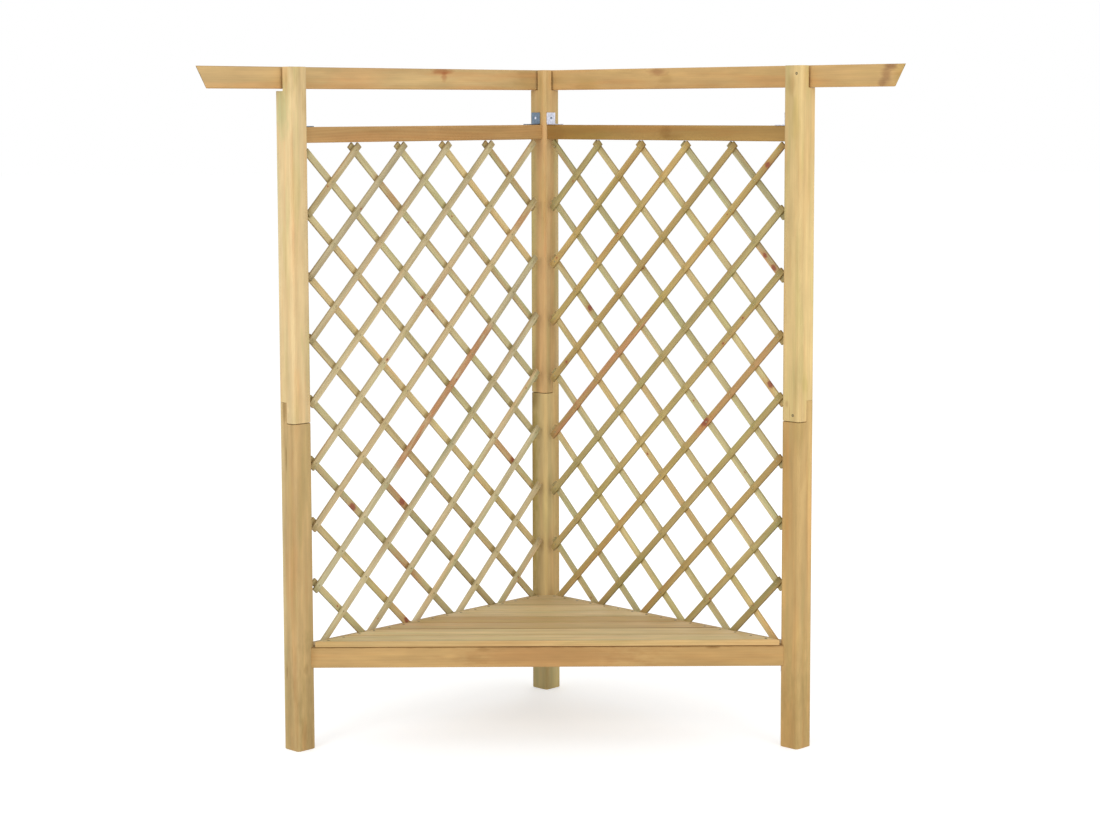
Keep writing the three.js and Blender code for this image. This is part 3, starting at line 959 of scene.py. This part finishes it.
def lath(side, from_rear, index, node, material, tone, fall):
    """One lath, sawn square at its ends or level where it stands on the lower rail."""
    upper, lower, stands = lath_ends(side, from_rear, index)
    direction = (lower - upper).normalized()
    start = upper - direction * stub_length(side, upper, -direction)
    end = lower + direction * (LATH_WIDTH if stands else stub_length(side, lower, direction))
    length = (end - start).length
    middle = (start + end) / 2
    in_front = from_rear == side.rear_laths_in_front
    depth = TRELLIS_INSET + (LAYER_OFFSET if in_front else -LAYER_OFFSET)

    bm = bmesh.new()
    bmesh.ops.create_cube(bm, size=1)
    bmesh.ops.scale(bm, vec=(length, LATH_THICKNESS, LATH_WIDTH), verts=bm.verts)
    turn = Matrix.Rotation(math.atan2(-direction.y, direction.x), 4, "Y")
    bmesh.ops.transform(bm, matrix=Matrix.Translation((middle.x, depth, middle.y)) @ turn, verts=bm.verts)
    if stands:
        cut = bmesh.ops.bisect_plane(
            bm, geom=bm.verts[:] + bm.edges[:] + bm.faces[:],
            plane_co=(0, 0, LATH_END_HEIGHT), plane_no=(0, 0, -1), clear_outer=True,
        )
        rim = [part for part in cut["geom_cut"] if isinstance(part, bmesh.types.BMEdge)]
        bmesh.ops.edgeloop_fill(bm, edges=rim)
    ease_edges(bm, LATH_EASED_EDGE, 1)
    bmesh.ops.transform(bm, matrix=side.matrix(), verts=bm.verts)
    bmesh.ops.recalc_face_normals(bm, faces=bm.faces)

    way = "falling" if from_rear == (side is RIGHT) else "rising"
    piece = finish_piece(bm, f"lath_{side.name}_{way}_{index + 1:02d}", material, [node])
    along = side.along * direction.x + UP * direction.y
    across = side.along * -direction.y + UP * direction.x
    pith = random_pith(50, 20, 60)
    marks = marks_of(side, from_rear, upper, direction, (lower - upper).length)
    marks["ends"] = ((start - upper).dot(direction), (end - upper).dot(direction), END_SHADE_AND_GRAIN)
    marks["behind"] = (0 if in_front else side.crossing_shade_and_dirt, 0, 0)
    lay_grain(piece, side.place(upper.x, depth, upper.y), along, across, tone, pith, fall=fall, **marks)


# Tone of the laths on screen, by side and by whether they rise to the rear post, and how it grows
# lighter upwards
LATH_TONES = {
    ("left", True): ((0.806, 0.743, 0.588), -0.14),
    ("left", False): ((0.806, 0.738, 0.547), 0.06),
    ("right", True): ((0.802, 0.740, 0.546), -0.13),
    ("right", False): ((0.733, 0.643, 0.424), -0.03),
}


def lath_tone(base):
    """A lath's own tone: a little lighter or darker and warmer or greener than its neighbours."""
    light = 1 + chance.uniform(-LIGHT_SPREAD, LIGHT_SPREAD)
    warmth = chance.uniform(-WARMTH_SPREAD, WARMTH_SPREAD)
    red, green, blue, _ = shade(*base)
    return (red * (light + warmth), green * light, blue * (light - warmth), 1.0)


def trellis(side):
    wood = wood_material(
        f"{side.name}_lath_wood", ring_width=0.0036, rings=0.30, bands=0.8, green=0.55, heart=0.65,
        bump=0.08, extra=lath_marks,
    )
    for index in range(LATHS_EACH_WAY):
        node = f"lath_pair_{side.name}_{index + 1:02d}"
        for from_rear, own in ((False, index), (True, partner_of(index))):
            base, fall = LATH_TONES[side.name, from_rear]
            lath(side, from_rear, own, node, wood, lath_tone(base), fall)


def rivet_profile():
    shank = LATH_THICKNESS + FIT / 2
    head = shank + RIVET_HEAD_HEIGHT
    half = [
        (RIVET_RADIUS, shank),
        (RIVET_HEAD_RADIUS, shank),
        (RIVET_HEAD_RADIUS * RIVET_CROWN_SHARE, head - RIVET_CROWN_DROP),
        (0, head),
    ]
    return [(radius, -height) for radius, height in reversed(half)] + half


def spun(profile, sides):
    """A closed body of revolution round Z from points, each a radius and a height."""
    bm = bmesh.new()
    points = [bm.verts.new((radius, 0, height)) for radius, height in profile]
    edges = [bm.edges.new(pair) for pair in zip(points, points[1:])]
    bmesh.ops.spin(
        bm, geom=points + edges, cent=(0, 0, 0), axis=(0, 0, 1), angle=2 * math.pi,
        steps=sides, use_merge=True,
    )
    bmesh.ops.remove_doubles(bm, verts=bm.verts, dist=MERGE_DISTANCE)
    bmesh.ops.recalc_face_normals(bm, faces=bm.faces)
    return bm


def copies(template, places):
    """Copies of a template mesh at each matrix, in one bmesh."""
    mesh = new_mesh("template", template)
    bm = bmesh.new()
    for place in places:
        before = len(bm.verts)
        bm.from_mesh(mesh)
        bm.verts.ensure_lookup_table()
        bmesh.ops.transform(bm, matrix=place, verts=bm.verts[before:])
    bmesh.ops.recalc_face_normals(bm, faces=bm.faces)
    bpy.data.meshes.remove(mesh)
    return bm


def facing(point, normal, spin=0.0):
    """Matrix that stands a template on a point with its Z along a normal."""
    turn = normal.to_track_quat("Z", "Y").to_matrix().to_4x4()
    return Matrix.Translation(point) @ turn @ Matrix.Rotation(spin, 4, "Z")


def rivets(side, steel):
    """A rivet at every crossing; laths cross where column and row add up to an even number."""
    places = []
    for column in range(COLUMNS + 1):
        for row in range(ROWS):
            if (column + row) % 2 == 0:
                spot = crossing(side, column, row)
                places.append(facing(side.place(spot.x, TRELLIS_INSET, spot.y), side.inward))
    bm = copies(spun(rivet_profile(), RIVET_SIDES), places)
    finish_piece(bm, f"trellis_rivets_{side.name}", steel)


# Screws

def extruded(bm, edges):
    """Walls from a loop of edges; gives the new loop's edges and vertices."""
    grown = bmesh.ops.extrude_edge_only(bm, edges=edges)["geom"]
    verts = [part for part in grown if isinstance(part, bmesh.types.BMVert)]
    rim = [
        part for part in grown
        if isinstance(part, bmesh.types.BMEdge) and all(vert in verts for vert in part.verts)
    ]
    return rim, verts


def screw_head():
    """A countersunk head with a cross recess, its rim at height zero and its cone below."""
    bm = bmesh.new()
    reach, half = CROSS_REACH, CROSS_HALF_WIDTH
    arm = ((reach, -half), (reach, half), (half, half))
    cross = []
    for quarter in range(4):
        turn = Matrix.Rotation(quarter * math.pi / 2, 2)
        cross += [turn @ Vector(point) for point in arm]
    ring = [
        Vector((math.cos(angle), math.sin(angle))) * (SCREW_RADIUS - SCREW_PROUD)
        for angle in (2 * math.pi * step / SCREW_SIDES for step in range(SCREW_SIDES))
    ]
    loops = []
    for points in (ring, cross):
        verts = [bm.verts.new((point.x, point.y, SCREW_PROUD)) for point in points]
        loops.append([bm.edges.new((verts[at - 1], verts[at])) for at in range(len(verts))])
    bmesh.ops.triangle_fill(bm, use_beauty=True, use_dissolve=False, edges=loops[0] + loops[1])

    edges, verts = extruded(bm, loops[1])
    bmesh.ops.translate(bm, vec=(0, 0, -CROSS_DEPTH), verts=verts)
    bmesh.ops.edgeloop_fill(bm, edges=edges)
    edges, verts = extruded(bm, loops[0])
    for vert in verts:
        vert.co = (vert.co.x * SCREW_RIM_FLARE, vert.co.y * SCREW_RIM_FLARE, 0)
    edges, verts = extruded(bm, edges)
    for vert in verts:
        vert.co = (vert.co.x * SCREW_FOOT_SHARE, vert.co.y * SCREW_FOOT_SHARE, -SCREW_DEPTH)
    bmesh.ops.edgeloop_fill(bm, edges=edges)
    bmesh.ops.recalc_face_normals(bm, faces=bm.faces)
    return bm


def screwed(name, places, steel):
    """Screws at points with the normals of the faces that they are driven into."""
    spots = [facing(point, normal, chance.uniform(0, math.pi)) for point, normal in places]
    finish_piece(copies(screw_head(), spots), name, steel)


def post_screw(side, along, height, inside):
    """Point and normal of a screw in the inner or the outer face of a post."""
    hand = 1 if inside else -1
    return side.place(along, hand * POST_HALF, height), side.inward * hand


def lap_places():
    """Two screws in the lap of each front post, and two in the rear post's outer left face."""
    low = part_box("post_left_upper")[0].z + LAP_SCREW_INSET
    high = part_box("post_left_lower")[1].z - LAP_SCREW_INSET
    places = []
    for side in SIDES:
        post = side.front_face + POST_HALF
        places.append(post_screw(side, post + LOWER_LAP_SCREW, low, side is RIGHT))
        places.append(post_screw(side, post + UPPER_LAP_SCREW, high, False))
    for across, height in ((LOWER_REAR_LAP_SCREW, low), (UPPER_REAR_LAP_SCREW, high)):
        places.append((REAR_POST - LEFT.along * POST_HALF + LEFT.inward * across + UP * height, -LEFT.along))
    return places


def beam_places():
    """Two screws at each beam's notch in a front post, and one at the rear post."""
    middle = centre_of("top_beam_left").z
    places = []
    for side in SIDES:
        post = side.front_face + POST_HALF
        for along, (across, rise), inside in (
            (post, UPPER_BEAM_SCREW, side is RIGHT),
            (post, LOWER_BEAM_SCREW, False),
            (0, REAR_BEAM_SCREW, False),
        ):
            places.append(post_screw(side, along + across, middle + rise, inside))
    return places


def bracket_places(side):
    """One screw in each leg of a side's four brackets."""
    places = []
    for level, up in (("upper", 1), ("lower", -1)):
        for end, toward in (("rear", 1), ("front", -1)):
            node = f"bracket_{level}_{side.name}_{end}"
            low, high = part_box(node)
            inward = (centre_of(node) - REAR_POST).dot(side.inward)
            heel = POST_HALF + FIT if toward > 0 else side.front_face - FIT
            base = low.z if up > 0 else high.z
            for along, rise, normal in (
                (BRACKET_HOLE, BRACKET_THICKNESS, UP * up),
                (BRACKET_THICKNESS, BRACKET_HOLE, side.along * toward),
            ):
                places.append((side.place(heel + toward * along, inward, base + up * rise), normal))
    return places


def slat_places():
    """Two screws over each bearer in every slat that reaches so far."""
    places = []
    for number in range(1, SLATS + 1):
        low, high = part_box(f"seat_slat_{number}")
        for share in SLAT_SCREW_SHARES:
            y = low.y + share * (high.y - low.y)
            reach = REAR_POST.y - y - SLAT_SCREW_INSET * math.sqrt(2)
            if reach > 2 * SCREW_RADIUS:
                for hand in (-1, 1):
                    places.append((Vector((REAR_POST.x + hand * reach, y, high.z)), UP))
    return places


# Stage, light and camera

FLOOR_SIZE = 60
FLOOR_GLOW = 0.44
SKY_STRENGTH = 0.74
LAMP_SIZE = 2.6
LAMP_TARGET = Vector((0, 0, 0.9))
CAMERA_FROM_REAR_POST = Vector((-0.0364, -7.4181, 1.8482))
CAMERA_ANGLES = (90 - 5.75, 0.166, -0.4125)
CAMERA_LENS = 76.93
CAMERA_SENSOR = 36
CAMERA_SHIFT = -0.06


def backdrop_rays(nodes):
    """1 for rays that see the backdrop straight, in a gloss or through glass."""
    path = nodes.add("ShaderNodeLightPath").outputs
    seen = nodes.math("MAXIMUM", path["Is Camera Ray"], path["Is Glossy Ray"])
    return nodes.math("MAXIMUM", seen, path["Is Transmission Ray"])


def stage():
    """A wide floor that glows for the rays that see it, so that it looks as pale as the sky."""
    bm = bmesh.new()
    bmesh.ops.create_grid(bm, x_segments=2, y_segments=2, size=FLOOR_SIZE)
    floor = new_object("floor", new_mesh("floor", bm))
    material, nodes, shader = start_material("pale_floor")
    shader["Base Color"].default_value = (0.80, 0.80, 0.80, 1)
    shader["Roughness"].default_value = 1.0
    shader["Specular IOR Level"].default_value = 0.0
    shader["Emission Color"].default_value = (1, 1, 1, 1)
    nodes.feed(shader["Emission Strength"], nodes.math("MULTIPLY", backdrop_rays(nodes), FLOOR_GLOW))
    floor.data.materials.append(material)


def world():
    """A white sky for the rays that see it and a softer one for the light that it gives."""
    sky = bpy.data.worlds.new("studio")
    bpy.context.scene.world = sky
    sky.use_nodes = True
    nodes = Nodes(sky.node_tree)
    white = sky.node_tree.nodes["Background"]
    white.inputs["Color"].default_value = (1, 1, 1, 1)
    white.inputs["Strength"].default_value = 1.0
    soft = nodes.add("ShaderNodeBackground")
    soft.inputs["Color"].default_value = (0.97, 0.985, 1.0, 1)
    soft.inputs["Strength"].default_value = SKY_STRENGTH
    mixed = nodes.add("ShaderNodeMixShader")
    seen = nodes.fill(mixed, backdrop_rays(nodes), soft.outputs[0], white.outputs[0])
    nodes.feed(sky.node_tree.nodes["World Output"].inputs["Surface"], seen[0])


def lamp(name, place, power):
    light = bpy.data.lights.new(name, "AREA")
    light.shape = "SQUARE"
    light.size = LAMP_SIZE
    light.energy = power
    holder = new_object(name, light)
    holder.location = place
    holder.rotation_euler = (LAMP_TARGET - Vector(place)).to_track_quat("-Z", "Y").to_euler()


def camera():
    data = bpy.data.cameras.new("camera")
    data.sensor_width = CAMERA_SENSOR
    data.lens = CAMERA_LENS
    data.shift_y = CAMERA_SHIFT
    holder = new_object("camera", data)
    holder.location = REAR_POST + CAMERA_FROM_REAR_POST
    holder.rotation_euler = [math.radians(angle) for angle in CAMERA_ANGLES]
    bpy.context.scene.camera = holder


camera()
world()
lamp("key", (-3.6, -5.2, 3.4), 105)
lamp("fill", (3.8, -4.8, 2.8), 75)
lamp("back", (0.6, 5.5, 3.6), 40)
stage()
bpy.context.scene.view_settings.view_transform = "Standard"

screw_steel = steel_material("screw_steel", shade(0.34, 0.31, 0.24), shade(0.48, 0.44, 0.34))
rivet_steel = steel_material("rivet_steel", shade(0.62, 0.57, 0.44), shade(0.76, 0.70, 0.54))
# One zinc as a lit copy and a darker shaded copy, painted light and shade: the left brackets take the shaded
# copy and the right ones the lit copy, their screws the other
lit_zinc = zinc_material("lit_zinc", shade(0.84, 0.85, 0.90))
shaded_zinc = zinc_material("shaded_zinc", shade(0.46, 0.52, 0.58))
posts()
beams()
rails()
seat()
for side in SIDES:
    trellis(side)
    rivets(side, rivet_steel)
brackets(lit_zinc, shaded_zinc)
screwed("lap_screws", lap_places(), screw_steel)
screwed("beam_screws", beam_places(), screw_steel)
screwed("bracket_screws_left", bracket_places(LEFT), lit_zinc)
screwed("bracket_screws_right", bracket_places(RIGHT), shaded_zinc)
screwed("slat_screws", slat_places(), screw_steel)
